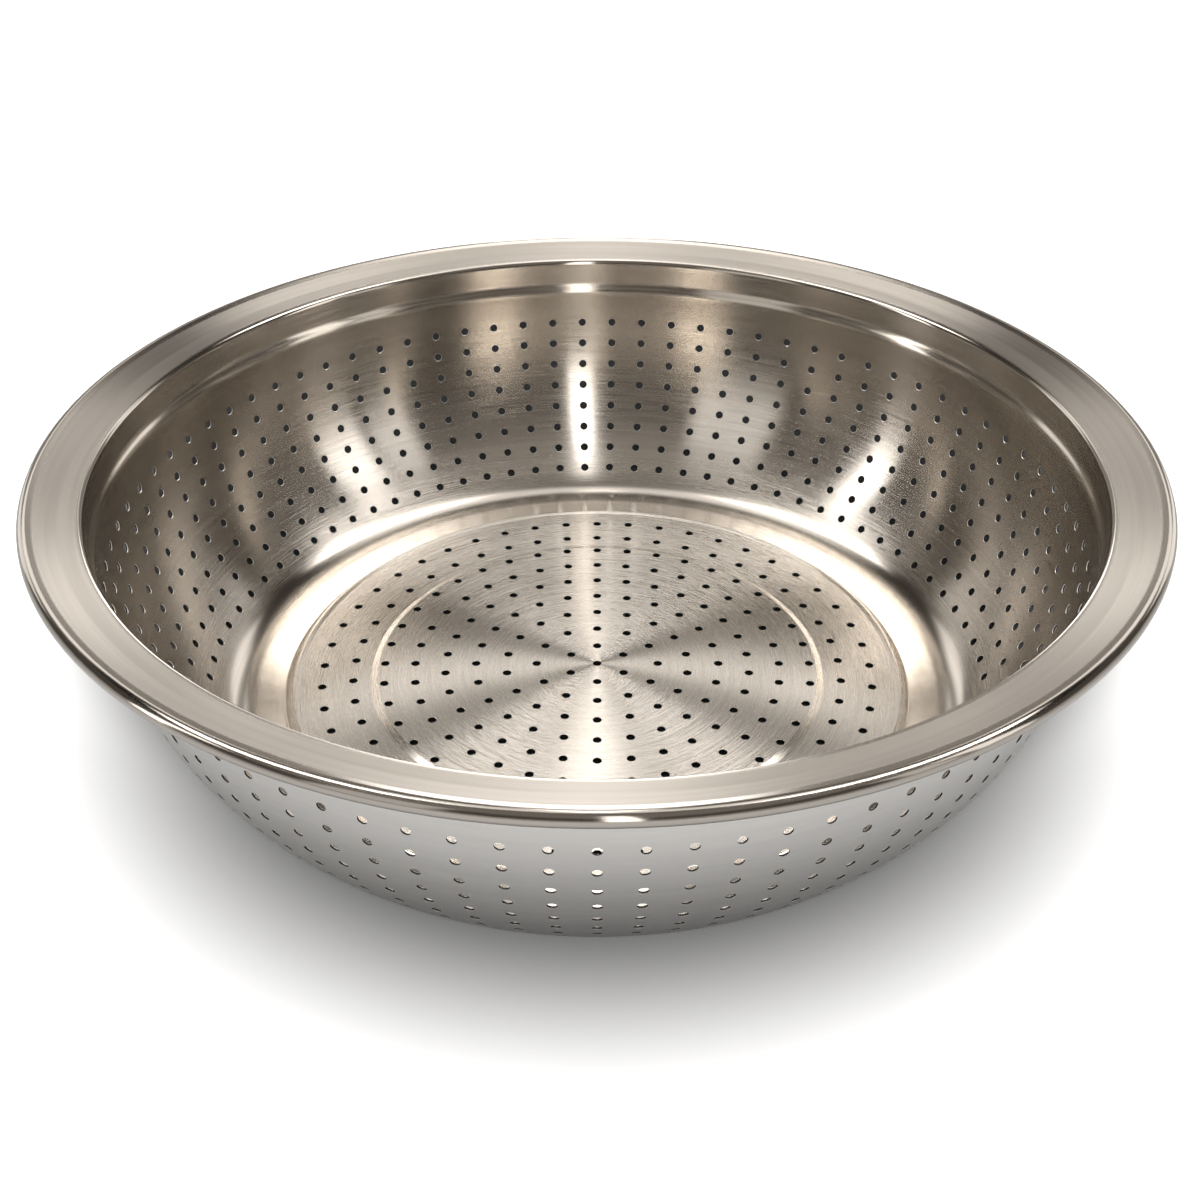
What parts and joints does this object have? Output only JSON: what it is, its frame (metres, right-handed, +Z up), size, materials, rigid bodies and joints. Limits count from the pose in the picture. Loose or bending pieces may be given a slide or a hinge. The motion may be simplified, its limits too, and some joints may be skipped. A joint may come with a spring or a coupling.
{
  "type": "colander",
  "caption": "Round stainless steel colander: a deep perforated bowl with a wide flange, a wired rim and a stepped perforated floor, for rinsing and draining food.",
  "frame": {"origin": "on the axis, at the plane that the standing ring rests on", "axes": "+Z up along the bowl's axis, X and Y alike"},
  "size_m": [0.36, 0.3598, 0.0928],
  "materials": {
    "bowl_steel": "brushed round the axis, brighter on the corner and the rim's bead",
    "wire_steel": "drawn wire, hidden in the bead"
  },
  "bodies": {
    "root": {"perforated_bowl": "bowl_steel", "rim_wire": "wire_steel"}
  },
  "joints": []
}
